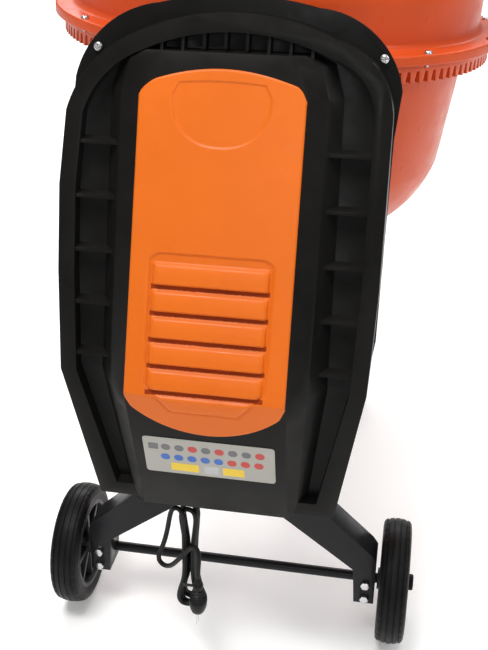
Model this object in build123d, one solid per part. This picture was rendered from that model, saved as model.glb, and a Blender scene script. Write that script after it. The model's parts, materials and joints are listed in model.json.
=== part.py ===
from build123d import *
import os
from math import cos, pi, radians, sin, sqrt, tan

# Electric concrete mixer, about 140 litres, on two wheels and a forked rear stand.
# Millimetres. X is to the right seen from the motor side, Y runs from the motor side (negative)
# to the handwheel side (positive), Z is up. The origin is on the ground under the middle.

# ---------------------------------------------------------------- driving dimensions
WALL = 3.0                  # moulded and pressed wall thickness
GAP = 0.3                   # clearance between faces of different bodies
FIT = 0.05                  # radial clearance of a running fit
SEAT = 0.02                 # clearance between the casing's back edge and its plate

# drum
DRUM_Y = 45.0               # drum axis
LIP_R = 352.0               # radius of the drum's widest edge
FLANGE_Z = 927.0            # underside of the bowl's flange
FLANGE_T = 3.0
SEAL_T = 4.0
SKIRT_DROP = 14.0           # height of the turned-down edge of the upper drum
SHEET = 2.5                 # drum sheet thickness
UPPER_R = 318.0             # upper drum where it is cylindrical
UPPER_STRAIGHT = 70.0
EDGE_R = 2.2                # round on the flange's outer edge
FOOT_R = 9.0                # round between the flange and the wall
MOUTH_R = 205.0
MOUTH_Z = 1325.0
BEAD_R = 9.0
BOWL_TOP_R = 304.0
BOWL_FLAT_R = 125.0
BOWL_Z = 590.0              # underside of the bowl
FLANGE_BOLT_R = 343.5
FLANGE_BOLTS = 12

# gears and belt drive
RING_TEETH = 132
PINION_TEETH = 12
RING_OUT_R = 338.0
RING_IN_R = 314.0
RING_BODY_Z = 912.0         # underside of the ring's solid rim
RING_TOOTH_Z = 896.0        # tips of the downward teeth
RING_TIP_HALF = 3.25        # half width of a tooth at its tip and at its root
RING_ROOT_HALF = 5.5
PITCH_LINE_Z = 900.0
PINION_PITCH_R = 29.7
PINION_TIP_R = 34.2
PINION_ROOT_R = 25.0
PINION_Y = (-295.0, -266.0)
TILT_Z = PITCH_LINE_Z - PINION_PITCH_R
SHAFT_R = 10.0
BIG_PULLEY_R = 52.0
SMALL_PULLEY_R = 15.0
PULLEY_Y = (-376.0, -358.0)
BELT_W = 10.0
BELT_T = 6.0
MOTOR_Z = 505.0
MOTOR_R = 56.0
MOTOR_Y = (-486.0, -389.0)

# stand
UPRIGHT_W = 50.0
NEAR_UPRIGHT_Y = (-349.0, -321.0)
FAR_UPRIGHT_Y = (411.0, 439.0)
HOUSING_R = 36.0
RAIL_Z = (272.0, 302.0)
FRAME_BOLT_Z = (RAIL_Z[0] - 12, RAIL_Z[1] + 12)
AXLE_Y = -304.0
AXLE_Z = 100.0
AXLE_R = 8.0
AXLE_BOLT_RISE = 14.0       # axle bolts above and below the axle
LEG_Y = (-340.0, -290.0)
LEG_END_X = 236.0
FAR_FOOT_X = 140.0

# wheels
TRACK = 530.0
WHEEL_R = 100.0
TYRE_W = 48.0
RIM_R = 74.0
RIM_W = 42.0

# yoke, lock and handwheel
NEAR_ARM_Y = (-318.0, -299.0)
FAR_ARM_Y = (389.0, 408.0)
YOKE_W = 46.0
YOKE_Z = (518.0, 546.0)
JOURNAL_R = 24.0
FAR_JOURNAL_R = 16.0
SPINDLE_R = 17.5
LOCK_DISC_Y = (445.0, 451.0)
LOCK_DISC_R = 85.0
TILT_LIMIT = 110.0
REST_TILT = 3.3             # the drum leans this far about Y when it is mixing
PIN_R = 6.0
PIN_TRAVEL = 12.0
HANDWHEEL_R = 186.0
HANDWHEEL_TUBE_R = 11.0
HANDWHEEL_Y = 514.2

# casing: the rim lies in two planes that meet at the kink
KINK_Z = 540.0
RIM_Y = -481.0              # rim's front face at the kink
RIM_LEAN_UP = 0.25          # back per mm of height above the kink
RIM_LEAN_DOWN = 0.143       # back per mm of depth below the kink
RIM_FACE = 22.0             # width of the rim's flat face
CHANNEL_DEPTH = 24.0
BACK_Y = -352.0             # face of the back plate
SCREW_X = 182.0             # screws in the back plate's ears
SCREW_Z = 944.0
CASING_TOP_Z = 994.0
HEAD_DRIFT = 12.0           # the casing's arched head stands this far to the right
SHOULDER_DRIFT = 4.0
EAR_DRIFT = 8.0
CASING_BROW = (127.0, 967.0)        # where the top arc meets the corner arc
CASING_CORNER = (182.0, 930.0)      # on the corner arc
CASING_SHOULDER = (207.0, 872.0)    # where the corner arc meets the side
CASING_WAIST = (211.0, 780.0)
CASING_LOW_WAIST = (211.0, 670.0)
CASING_KINK_X = 206.0
CASING_FOOT = (171.0, 320.0)
RIB_Z0 = 834.0
RIB_PITCH = 68.0
RIBS = 5
TOP_RIBS = 9
TOP_RIB_PITCH = 27.0

# bulge of the casing: (height, front half width, middle half width, base half width,
# front y, middle y), from top to bottom
BULGE = (
    (948.0, 78.0, 100.0, 114.0, -380.4, -378.0),
    (937.0, 92.0, 120.0, 142.0, -384.0, -381.0),
    (897.0, 106.0, 132.0, 156.0, -397.0, -388.0),
    (537.0, 106.0, 132.0, 158.0, -522.0, -498.0),
    (315.0, 104.0, 118.0, 132.0, -456.0, -446.0),
)

# orange cover
COVER_T = 3.0
LOUVRE_HALF = 82.0
LOUVRE_Z = (520.0, 706.0)
SLATS = 6

# switch on the casing's left side
SWITCH_X = -208.5
SWITCH_Y = -400.0
BUTTON_Z = {"on_button": 656.0, "off_button": 624.0}

# cord
CORD_D = 7.5
GLAND = (-45.0, -378.0)
GLAND_TIP_Z = 286.0
HANK_X = (-62.0, -32.0)
HANK_Y = (-430.0, -398.0)
HANK_Z = (103.0, 296.0)
PLUG = (-27.0, -451.0)
PLUG_HALF = (13.5, 17.0)
PLUG_Z = (120.0, 170.0)


# ---------------------------------------------------------------- helpers
def span_box(x, y, z):
    """A box given by its low and high coordinates."""
    size = (x[1] - x[0], y[1] - y[0], z[1] - z[0])
    middle = ((x[0] + x[1]) / 2, (y[0] + y[1]) / 2, (z[0] + z[1]) / 2)
    return Pos(*middle) * Box(*size)


def rod_y(radius, y, x=0.0, z=0.0):
    """A cylinder along Y."""
    return Pos(x, (y[0] + y[1]) / 2, z) * Rot(90, 0, 0) * Cylinder(radius, y[1] - y[0])


def rod_x(radius, x, y=0.0, z=0.0):
    """A cylinder along X."""
    return Pos((x[0] + x[1]) / 2, y, z) * Rot(0, 90, 0) * Cylinder(radius, x[1] - x[0])


def rod_z(radius, z, x=0.0, y=0.0):
    """A cylinder along Z."""
    return Pos(x, y, (z[0] + z[1]) / 2) * Cylinder(radius, z[1] - z[0])


def ring_y(outer, inner, y, x=0.0, z=0.0):
    """A ring whose axis is along Y."""
    return rod_y(outer, y, x, z) - rod_y(inner, (y[0] - 1, y[1] + 1), x, z)


def ring_z(outer, inner, z, x=0.0, y=0.0):
    """A ring whose axis is along Z."""
    return rod_z(outer, z, x, y) - rod_z(inner, (z[0] - 1, z[1] + 1), x, y)


def front_prism(points, y):
    """A polygon in the XZ plane, extruded from y[0] to y[1]."""
    outline = Plane.XZ * Polygon(*points, align=None)
    return Pos(0, y[0], 0) * extrude(outline, y[1] - y[0], dir=(0, 1, 0))


def side_prism(points, half):
    """A polygon in the YZ plane, extruded over x from -half to half."""
    outline = Plane.YZ * Polygon(*points, align=None)
    return Pos(-half, 0, 0) * extrude(outline, 2 * half, dir=(1, 0, 0))


def hexagon_y(across, y, x, z):
    """A hexagonal nut or head whose axis is along Y."""
    face = Plane.XZ * RegularPolygon(across / 2, 6, major_radius=False)
    return Pos(x, y[0], z) * extrude(face, y[1] - y[0], dir=(0, 1, 0))


def around_drum(piece, count, first=0.0):
    """Copies of a piece around the drum's axis, as one list."""
    turn = 360.0 / count
    home = Pos(0, -DRUM_Y, 0) * piece
    return [Pos(0, DRUM_Y, 0) * Rot(0, 0, first + turn * i) * home for i in range(count)]


def revolve_drum(profile):
    """Revolve a closed outline in (radius, height) about the drum's axis."""
    face = Plane.XZ * make_face(profile)
    return Pos(0, DRUM_Y, 0) * revolve(face, Axis.Z)


def mirrored(piece):
    """A piece and its mirror image across X = 0, as one list."""
    return [piece, mirror(piece, Plane.YZ)]


def group(pieces):
    """Separate solids kept as one node."""
    solids = []
    for piece in pieces:
        solids.extend(piece.solids())
    return Compound(children=solids)


# ---------------------------------------------------------------- stand
def make_upright(y, reach_z):
    """Square tube that carries a bearing housing in a saddle at its top."""
    half = UPRIGHT_W / 2
    tube = span_box((-half, half), y, (reach_z, TILT_Z - 10))
    inside = span_box((-half + WALL, half - WALL), (y[0] + WALL, y[1] - WALL), (reach_z - 1, TILT_Z))
    return tube - inside - rod_y(HOUSING_R, (y[0] - 1, y[1] + 1), z=TILT_Z)


def make_near_upright():
    upright = make_upright(NEAR_UPRIGHT_Y, 250.0)
    motor_bolts = [rod_y(3.0, (NEAR_UPRIGHT_Y[0] - 1, NEAR_UPRIGHT_Y[0] + 5), x, 450.0) for x in (-14.0, 14.0)]
    return upright - motor_bolts


def make_far_upright():
    upright = make_upright(FAR_UPRIGHT_Y, 250.0)
    return upright - [rod_y(4.0, (FAR_UPRIGHT_Y[1] - 5, FAR_UPRIGHT_Y[1] + 1), 0.0, z) for z in FRAME_BOLT_Z]


def make_base_rail():
    half = UPRIGHT_W / 2
    y = (NEAR_UPRIGHT_Y[1], FAR_UPRIGHT_Y[0])
    tube = span_box((-half, half), y, RAIL_Z)
    inside = span_box((-half + WALL, half - WALL), (y[0] - 1, y[1] + 1), (RAIL_Z[0] + WALL, RAIL_Z[1] - WALL))
    return tube - inside


def pressed_channel(outer, inner, y):
    """A channel pressed from sheet: closed at the front, open at the back."""
    return front_prism(outer, y) - front_prism(inner, (y[0] + WALL, y[1] + 1))


def make_near_leg():
    """Right-hand wheel leg, splayed from the upright to the axle."""
    root = UPRIGHT_W / 2
    end = LEG_END_X
    outer = [(root, 272), (root, 360), (228, 172), (end, 160), (end, 76), (204, 76), (200, 140)]
    inner = [(root + 4, 278), (root + 4, 350), (226, 168), (end - 4, 158), (end - 4, 80), (208, 80), (204, 142)]
    leg = pressed_channel(outer, inner, LEG_Y)
    leg -= rod_x(AXLE_R, (190, 250), AXLE_Y, AXLE_Z)
    for z in (AXLE_Z - AXLE_BOLT_RISE, AXLE_Z + AXLE_BOLT_RISE):
        leg -= rod_y(4.0, (LEG_Y[0] - 1, LEG_Y[0] + 6), 221.0, z)
    return leg


def make_far_leg():
    """Right-hand stand leg, splayed from the far upright to its rubber foot."""
    root = UPRIGHT_W / 2
    foot = FAR_FOOT_X
    outer = [(root, 262), (root, 334), (foot + 20, 60), (foot + 20, 10), (foot - 20, 10), (foot - 20, 46)]
    inner = [(root + 4, 268), (root + 4, 322), (foot + 16, 58), (foot + 16, 14), (foot - 16, 14), (foot - 16, 48)]
    return pressed_channel(outer, inner, FAR_UPRIGHT_Y)


def make_foot():
    """Rubber boot on the right-hand stand leg."""
    x = (FAR_FOOT_X - 26, FAR_FOOT_X + 26)
    y = (FAR_UPRIGHT_Y[0] - 6, FAR_UPRIGHT_Y[1] + 6)
    boot = span_box(x, y, (0, 38))
    boot = fillet(boot.edges().filter_by(Axis.Z), 6)
    boot = chamfer(boot.faces().sort_by(Axis.Z)[0].edges(), 2)
    return boot - span_box((FAR_FOOT_X - 20, FAR_FOOT_X + 20), FAR_UPRIGHT_Y, (10, 60))


def make_axle():
    reach = TRACK / 2 + TYRE_W / 2 + 4
    return rod_x(AXLE_R, (-reach, reach), AXLE_Y, AXLE_Z)


def make_axle_clamp():
    """Right-hand saddle that holds the axle against the leg's front wall."""
    block = span_box((209, 231), (LEG_Y[0] + WALL, AXLE_Y + 14), (AXLE_Z - 19, AXLE_Z + 19))
    for z in (AXLE_Z - AXLE_BOLT_RISE, AXLE_Z + AXLE_BOLT_RISE):
        block -= rod_y(4.0, (LEG_Y[0], AXLE_Y + 20), 221.0, z)
    return block - rod_x(AXLE_R, (200, 240), AXLE_Y, AXLE_Z)


def make_axle_bolt(z):
    """Hexagon bolt through the right-hand leg into its axle clamp."""
    head = hexagon_y(13.0, (LEG_Y[0] - 6, LEG_Y[0]), 221.0, z)
    return head + rod_y(4.0, (LEG_Y[0], AXLE_Y + 10), 221.0, z)


def make_near_bearing():
    y = (NEAR_UPRIGHT_Y[0] - 1, NEAR_UPRIGHT_Y[1] + 1)
    return ring_y(HOUSING_R, JOURNAL_R + FIT, y, z=TILT_Z)


def make_far_bearing():
    y = (FAR_UPRIGHT_Y[0] - 1, FAR_UPRIGHT_Y[1] + 1)
    return ring_y(HOUSING_R, FAR_JOURNAL_R + FIT, y, z=TILT_Z)


def make_frame_bolts():
    """Bolts that hold the uprights to the base rail's end plates."""
    bolts = []
    for z in FRAME_BOLT_Z:
        head = hexagon_y(13.0, (FAR_UPRIGHT_Y[1], FAR_UPRIGHT_Y[1] + 6), 0.0, z)
        bolts.append(head + rod_y(4.0, (FAR_UPRIGHT_Y[1] - WALL, FAR_UPRIGHT_Y[1]), 0.0, z))
    return bolts


# ---------------------------------------------------------------- wheels
def make_tyre():
    """Right-hand tyre: round shoulders and shallow grooves round the tread."""
    half = TYRE_W / 2
    with BuildLine() as line:
        Polyline((RIM_R, -RIM_W / 2), (RIM_R + 8, -half + 1), (WHEEL_R - 9, -half + 1))
        Polyline((WHEEL_R - 9, half - 1), (RIM_R + 8, half - 1), (RIM_R, RIM_W / 2), (RIM_R, -RIM_W / 2))
        ThreePointArc((WHEEL_R - 9, -half + 1), (WHEEL_R, 0), (WHEEL_R - 9, half - 1))
    face = Plane.XZ * make_face(line.line)
    tyre = revolve(face, Axis.Z)
    for z in (-14, -5, 5, 14):
        depth = WHEEL_R - 2.5 - abs(z) * 0.12
        tyre -= ring_z(WHEEL_R + 2, depth, (z - 1, z + 1))
    return Pos(TRACK / 2, AXLE_Y, AXLE_Z) * Rot(0, 90, 0) * tyre


def make_rim():
    """Right-hand moulded wheel: hub, eight ribbed spokes and outer band."""
    band = ring_z(RIM_R, RIM_R - 7, (-RIM_W / 2, RIM_W / 2))
    hub = rod_z(17, (-26, 24))
    web = rod_z(RIM_R - 5, (-3, 3))
    rim = band + hub + web
    for i in range(8):
        spoke = Pos((RIM_R + 9) / 2, 0, 0) * Box(RIM_R - 15, 7, RIM_W - 10)
        rim += Rot(0, 0, 45 * i) * spoke
    for i in range(8):
        hole = Pos(45, 0, 0) * Cylinder(11, 20)
        rim -= Rot(0, 0, 45 * i + 22.5) * hole
    rim -= rod_z(AXLE_R + FIT, (-40, 40))
    return Pos(TRACK / 2, AXLE_Y, AXLE_Z) * Rot(0, 90, 0) * rim


def make_axle_cap():
    """Right-hand push-on cap on the axle's end."""
    inner = TRACK / 2 + 24 + GAP
    outer = TRACK / 2 + TYRE_W / 2 + 8
    cap = rod_x(13, (inner, outer), AXLE_Y, AXLE_Z)
    cap = fillet(cap.faces().sort_by(Axis.X)[-1].edges(), 2.5)
    return cap - rod_x(AXLE_R, (inner - 1, TRACK / 2 + TYRE_W / 2 + 4), AXLE_Y, AXLE_Z)


# ---------------------------------------------------------------- casing
def rim_y(z):
    """The rim's front face at a height."""
    if z >= KINK_Z:
        return RIM_Y + (z - KINK_Z) * RIM_LEAN_UP
    return RIM_Y + (KINK_Z - z) * RIM_LEAN_DOWN


def drifted(point, side, drift=HEAD_DRIFT):
    """A point of the head on one side, moved with the head to the right."""
    return (side * point[0] + drift, point[1])


def casing_outline(inset):
    """The casing's front outline, drawn in by an inset."""
    brow = (CASING_BROW[0] - inset * 0.35, CASING_BROW[1] - inset * 0.94)
    corner = (CASING_CORNER[0] - inset * 0.76, CASING_CORNER[1] - inset * 0.65)
    shoulder = (CASING_SHOULDER[0] - inset, CASING_SHOULDER[1] - inset * 0.1)
    foot = (CASING_FOOT[0] - inset * 1.15, CASING_FOOT[1] + inset)
    side = [
        (CASING_WAIST[0] - inset, CASING_WAIST[1]), (CASING_LOW_WAIST[0] - inset, CASING_LOW_WAIST[1]),
        (CASING_KINK_X - inset, KINK_Z), foot,
    ]
    with BuildLine() as line:
        ThreePointArc(drifted(brow, -1), (HEAD_DRIFT, CASING_TOP_Z - inset), drifted(brow, 1))
        ThreePointArc(drifted(brow, 1), drifted(corner, 1), drifted(shoulder, 1, SHOULDER_DRIFT))
        Polyline(
            drifted(shoulder, 1, SHOULDER_DRIFT), *side, *[(-x, z) for x, z in reversed(side)],
            drifted(shoulder, -1, SHOULDER_DRIFT),
        )
        ThreePointArc(drifted(shoulder, -1, SHOULDER_DRIFT), drifted(corner, -1), drifted(brow, -1))
    return Plane.XZ * make_face(line.line)


def between(front, back):
    """A slab that follows the rim's planes, from front to back behind its face."""
    heights = [1100.0, KINK_Z, 200.0]
    near = [(rim_y(z) + front, z) for z in heights]
    far = [(rim_y(z) + back, z) for z in reversed(heights)]
    return side_prism(near + far, 300)


def behind(front):
    """Everything from a depth behind the rim's face to the back plate."""
    heights = [1100.0, KINK_Z, 200.0]
    near = [(rim_y(z) + front, z) for z in heights]
    return side_prism(near + [(BACK_Y, 200.0), (BACK_Y, 1100.0)], 300)


def outline_prism(inset):
    return Pos(0, BACK_Y - 200, 0) * extrude(casing_outline(inset), 300, dir=(0, 1, 0))


def bulge_solid(inset, lift):
    """The wedge that stands out of the casing, drawn in by an inset."""
    faces = []
    for z, front, middle, base, front_y, middle_y in BULGE:
        if z == BULGE[0][0]:
            z += lift
        if z == BULGE[-1][0]:
            z -= lift
        base_y = rim_y(z) + CHANNEL_DEPTH + 4
        points = [
            (-base + inset, base_y), (-middle + inset, middle_y + inset), (-front + inset, front_y + inset),
            (front - inset, front_y + inset), (middle - inset, middle_y + inset), (base - inset, base_y),
        ]
        faces.append(Plane.XY.offset(z) * Polygon(*points, align=None))
    return loft(faces, ruled=True)


def make_casing():
    """Black moulded casing: rim, skirt, ribbed channel and bulge."""
    whole = outline_prism(0)
    opening = outline_prism(RIM_FACE)
    skirt = (whole - outline_prism(WALL)) & behind(0)
    rim = (whole - opening) & between(0, WALL)
    channel_wall = (outline_prism(RIM_FACE - WALL) - opening) & between(0, CHANNEL_DEPTH)
    floor = outline_prism(RIM_FACE - WALL) & between(CHANNEL_DEPTH - WALL, CHANNEL_DEPTH)
    casing = skirt + rim + channel_wall + floor
    for i in range(RIBS):
        z = RIB_Z0 - i * RIB_PITCH
        bar = span_box((-195, 195), (-540, BACK_Y), (z - 2.5, z + 2.5))
        casing += bar & opening & between(3, CHANNEL_DEPTH)
    for i in range(TOP_RIBS):
        x = TOP_RIB_PITCH * (i - (TOP_RIBS - 1) / 2)
        low = 952 - 22 * (x / 108) ** 2
        bar = span_box((x - 2, x + 2), (-540, BACK_Y), (low, low + 25))
        casing += bar & opening & between(3, CHANNEL_DEPTH)
    bulge = bulge_solid(0, 0)
    hollow = bulge_solid(WALL, -WALL)
    casing = casing - bulge_solid(0, 0) + (bulge - hollow)
    casing -= rod_z(9.0, (300, 330), *GLAND)
    casing -= span_box((-225, -195), (SWITCH_Y - 21, SWITCH_Y + 21), (608, 672))
    casing &= span_box((-260, 260), (-600, BACK_Y - SEAT), (250, 1050))
    solids = sorted(casing.solids(), key=lambda s: s.volume)
    return solids[-1]


def make_back_plate():
    """Black sheet behind the casing with an arched top and two ears."""
    crown = (100, 1001)
    ear = (172, 970)
    ear_foot = (211, 905)
    side = [(213, 844), (209, 556), (177, 322)]
    with BuildLine() as line:
        ThreePointArc(drifted(crown, -1), (HEAD_DRIFT, 1013), drifted(crown, 1))
        ThreePointArc(drifted(crown, 1), drifted(ear, 1), drifted(ear_foot, 1, EAR_DRIFT))
        Polyline(
            drifted(ear_foot, 1, EAR_DRIFT), *side, *[(-x, z) for x, z in reversed(side)],
            drifted(ear_foot, -1, EAR_DRIFT),
        )
        ThreePointArc(drifted(ear_foot, -1, EAR_DRIFT), drifted(ear, -1), drifted(crown, -1))
    plate = Plane.XZ * make_face(line.line)
    plate = Pos(0, BACK_Y, 0) * extrude(plate, WALL, dir=(0, 1, 0))
    plate -= rod_y(HOUSING_R + 0.5, (BACK_Y - 5, BACK_Y + 10), z=TILT_Z)
    plate -= span_box((-30, 30), (BACK_Y - 5, BACK_Y + 10), (430, 470))
    for x in (HEAD_DRIFT - SCREW_X, HEAD_DRIFT + SCREW_X):
        plate -= rod_y(3.0, (BACK_Y - 5, BACK_Y + 10), x, SCREW_Z)
    return plate


def make_back_screws():
    """Two cross-head pan screws in the back plate's ears."""
    screws = []
    for x in (HEAD_DRIFT - SCREW_X, HEAD_DRIFT + SCREW_X):
        head = rod_y(6.0, (BACK_Y - 4, BACK_Y), x, SCREW_Z)
        head = fillet(head.faces().sort_by(Axis.Y)[0].edges(), 2.5)
        shank = rod_y(3.0, (BACK_Y, BACK_Y + 12), x, SCREW_Z)
        cross = span_box((x - 3.5, x + 3.5), (BACK_Y - 5, BACK_Y - 2), (SCREW_Z - 0.6, SCREW_Z + 0.6))
        cross += span_box((x - 0.6, x + 0.6), (BACK_Y - 5, BACK_Y - 2), (SCREW_Z - 3.5, SCREW_Z + 3.5))
        screws.append(head + shank - cross)
    return screws


def cover_slab(front, back, grow=0.0):
    """A slab lying on the bulge's front, between two heights above it."""
    faces = []
    for z, half, _, _, front_y, _ in BULGE:
        width = half + grow
        points = [(-width, front_y - back), (width, front_y - back), (width, front_y - front), (-width, front_y - front)]
        faces.append(Plane.XY.offset(z) * Polygon(*points, align=None))
    return loft(faces, ruled=True)


def make_cover():
    """Orange cover over the bulge, with an arched foot, louvres and a plain raised ridge."""
    with BuildLine() as line:
        ThreePointArc((-98, 915), (0, 930), (98, 915))
        Polyline((98, 915), (106, 897), (106, 532), (99, 514))
        ThreePointArc((99, 514), (0, 471), (-99, 514))
        Polyline((-99, 514), (-106, 532), (-106, 897), (-98, 915))
    outline = Pos(0, -600, 0) * extrude(Plane.XZ * make_face(line.line), 300, dir=(0, 1, 0))
    cover = cover_slab(0.2, COVER_T + 0.2) & outline
    pitch = (LOUVRE_Z[1] - LOUVRE_Z[0]) / SLATS
    for i in range(1, SLATS):
        z = LOUVRE_Z[0] + i * pitch
        cover -= span_box((-LOUVRE_HALF + 4, LOUVRE_HALF - 4), (-560, -380), (z - 2.5, z + 2.5))
    return cover


def make_label():
    """Plain label on the bulge's lower face."""
    slab = cover_slab(0.1, 0.9)
    return slab & span_box((-91, 91), (-560, -400), (388, 458))


# ---------------------------------------------------------------- motor and belt
def make_motor_body():
    body = rod_y(MOTOR_R, (MOTOR_Y[0] + 26, MOTOR_Y[1]), z=MOTOR_Z)
    for i in range(24):
        angle = 15.0 * i
        fin = Pos(MOTOR_R - 1, 0, 0) * Box(5, 62, 2.2)
        body += Pos(0, MOTOR_Y[1] - 36, MOTOR_Z) * Rot(0, angle, 0) * fin
    return body - rod_y(SHAFT_R + 1, (MOTOR_Y[0], MOTOR_Y[1] + 1), z=MOTOR_Z)


def make_fan_cowl():
    """Perforated cap over the motor's fan."""
    y = (MOTOR_Y[0], MOTOR_Y[0] + 26 - 0.2)
    cap = rod_y(MOTOR_R - 3, y, z=MOTOR_Z)
    cap -= rod_y(MOTOR_R - 5, (y[0] + 2, y[1] + 1), z=MOTOR_Z)
    for ring, count in ((18.0, 8), (32.0, 14)):
        for i in range(count):
            angle = 2 * pi * i / count
            cap -= rod_y(3.0, (y[0] - 1, y[0] + 4), ring * cos(angle), MOTOR_Z + ring * sin(angle))
    return cap


def make_motor_bracket():
    """Plate on the motor's back face with two feet that reach the upright."""
    y = (MOTOR_Y[1], MOTOR_Y[1] + 4)
    plate = span_box((-52, 52), y, (437, MOTOR_Z + 52)) - rod_y(20.0, (y[0] - 1, y[1] + 1), z=MOTOR_Z)
    for x in (-24.0, 20.0):
        plate += span_box((x, x + 4), (y[1], NEAR_UPRIGHT_Y[0]), (437, 468))
    plate += span_box((-24, 24), (NEAR_UPRIGHT_Y[0] - 4, NEAR_UPRIGHT_Y[0]), (437, 463))
    for x in (-14.0, 14.0):
        plate -= rod_y(3.0, (NEAR_UPRIGHT_Y[0] - 9, NEAR_UPRIGHT_Y[0] + 1), x, 450.0)
    return plate


def make_motor_bolts():
    """Bolts of the motor bracket: two into the upright."""
    bolts = []
    for x in (-14.0, 14.0):
        head = hexagon_y(10.0, (NEAR_UPRIGHT_Y[0] - 8, NEAR_UPRIGHT_Y[0] - 4), x, 450.0)
        bolts.append(head + rod_y(3.0, (NEAR_UPRIGHT_Y[0] - 4, NEAR_UPRIGHT_Y[0] + 5), x, 450.0))
    return bolts


def make_capacitor():
    can = rod_z(18.0, (460.0, 530.0), 88.0, -425.0)
    can += rod_z(15.0, (530.0, 536.0), 88.0, -425.0)
    return can + span_box((70, 106), (-407.5, -398), (475, 515))


def make_motor_shaft():
    return rod_y(SHAFT_R - 2, (MOTOR_Y[0] + 6, PULLEY_Y[1]), z=MOTOR_Z)


def make_motor_fan():
    y = (MOTOR_Y[0] + 8, MOTOR_Y[0] + 20)
    fan = rod_y(16.0, y, z=MOTOR_Z)
    for i in range(8):
        blade = Pos(28, 0, 0) * Box(34, 10, 2)
        fan += Pos(0, (y[0] + y[1]) / 2, MOTOR_Z) * Rot(0, 45 * i, 0) * blade
    return fan - rod_y(SHAFT_R - 2, (y[0] - 1, y[1] + 1), z=MOTOR_Z)


def make_pulley(radius, bore, z, spokes):
    """Flat-faced pulley with a belt groove; large ones are lightened by holes."""
    y = PULLEY_Y
    middle = (y[0] + y[1]) / 2
    pulley = rod_y(radius + 2, y, z=z)
    groove = (middle - BELT_W / 2 - 1, middle + BELT_W / 2 + 1)
    pulley -= ring_y(radius + 5, radius - BELT_T, groove, z=z)
    for i in range(spokes):
        angle = 2 * pi * i / spokes
        hole = radius * 0.55
        pulley -= rod_y(radius * 0.17, (y[0] - 1, y[1] + 1), hole * cos(angle), z + hole * sin(angle))
    return pulley - rod_y(bore, (y[0] - 1, y[1] + 1), z=z)


def make_belt():
    """Drive belt round the two pulleys, one above the other."""
    big = BIG_PULLEY_R - BELT_T + GAP
    small = SMALL_PULLEY_R - BELT_T + GAP
    middle = (PULLEY_Y[0] + PULLEY_Y[1]) / 2
    y = (middle - BELT_W / 2, middle + BELT_W / 2)
    distance = TILT_Z - MOTOR_Z

    def loop(extra):
        lean = (big - small) / distance
        side = sqrt(1 - lean * lean)
        top = big + extra
        low = small + extra
        upper = (top * side, TILT_Z - top * lean)
        lower = (low * side, MOTOR_Z - low * lean)
        with BuildLine() as line:
            ThreePointArc((-upper[0], upper[1]), (0, TILT_Z + top), upper)
            Line(upper, lower)
            ThreePointArc(lower, (0, MOTOR_Z - low), (-lower[0], lower[1]))
            Line((-lower[0], lower[1]), (-upper[0], upper[1]))
        return Pos(0, y[0], 0) * extrude(Plane.XZ * make_face(line.line), y[1] - y[0], dir=(0, 1, 0))

    return loop(BELT_T) - loop(0)


# ---------------------------------------------------------------- switch
def make_switch_box():
    y = (SWITCH_Y - 20, SWITCH_Y + 20)
    box = span_box((-213, -160), y, (609, 671))
    box += span_box((SWITCH_X - 8, -212.4), (SWITCH_Y - 26, SWITCH_Y + 26), (602, 678))
    for z in BUTTON_Z.values():
        box -= rod_x(11 + GAP, (SWITCH_X - 20, -190), SWITCH_Y, z)
    return box


def make_button(name):
    z = BUTTON_Z[name]
    button = rod_x(11.0, (SWITCH_X - 11, -195), SWITCH_Y, z)
    return fillet(button.faces().sort_by(Axis.X)[0].edges(), 1.5)


def make_gland():
    """Tapered strain relief under the casing."""
    body = rod_z(9.0, (CASING_FOOT[1], 328.0), *GLAND)
    collar = rod_z(13.0, (312.0, CASING_FOOT[1]), *GLAND)
    cone = Pos(GLAND[0], GLAND[1], (312.0 + GLAND_TIP_Z) / 2) * Cone(5.0, 9.0, 312.0 - GLAND_TIP_Z)
    return body + collar + cone


# ---------------------------------------------------------------- yoke
def make_yoke_frame():
    """Welded U frame that carries the drum between the two bearings."""
    half = YOKE_W / 2
    bar = span_box((-half, half), (NEAR_ARM_Y[0], FAR_ARM_Y[1]), YOKE_Z)
    bar -= span_box(
        (-half + WALL, half - WALL),
        (NEAR_ARM_Y[1] + 2, FAR_ARM_Y[0] - 2),
        (YOKE_Z[0] + WALL, YOKE_Z[1] - WALL),
    )
    frame = bar + rod_z(30.0, YOKE_Z, 0, DRUM_Y)
    for y in (NEAR_ARM_Y, FAR_ARM_Y):
        arm = span_box((-half, half), y, (YOKE_Z[1], TILT_Z))
        arm -= span_box((-half + WALL, half - WALL), (y[0] + WALL, y[1] - WALL), (YOKE_Z[1] + 4, TILT_Z - 40))
        frame += arm + rod_y(HOUSING_R - 2, y, z=TILT_Z)
    for start, step in ((NEAR_ARM_Y[1], 1), (FAR_ARM_Y[0], -1)):
        brace = [(start, YOKE_Z[1]), (start + 45 * step, YOKE_Z[1]), (start, YOKE_Z[1] + 60)]
        frame += side_prism(brace, 4)
    frame -= rod_z(SPINDLE_R, (500, 600), 0, DRUM_Y)
    frame -= rod_y(JOURNAL_R, (NEAR_ARM_Y[0] - 1, NEAR_ARM_Y[1] + 1), z=TILT_Z)
    return frame - rod_y(FAR_JOURNAL_R, (FAR_ARM_Y[0] - 1, FAR_ARM_Y[1] + 1), z=TILT_Z)


def make_near_journal():
    """Hollow journal that the pinion shaft runs through."""
    y = (NEAR_UPRIGHT_Y[0] - 5, NEAR_ARM_Y[1])
    return ring_y(JOURNAL_R, 15.0, y, z=TILT_Z)


def make_shaft_bushes():
    """Two bronze bushes inside the near journal."""
    start = NEAR_UPRIGHT_Y[0] - 5
    end = NEAR_ARM_Y[1]
    bushes = [ring_y(15.0, SHAFT_R + FIT, y, z=TILT_Z) for y in ((start, start + 18), (end - 18, end))]
    return group(bushes)


def make_far_journal():
    return rod_y(FAR_JOURNAL_R, (FAR_ARM_Y[0], HANDWHEEL_Y - 4), z=TILT_Z)


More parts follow.
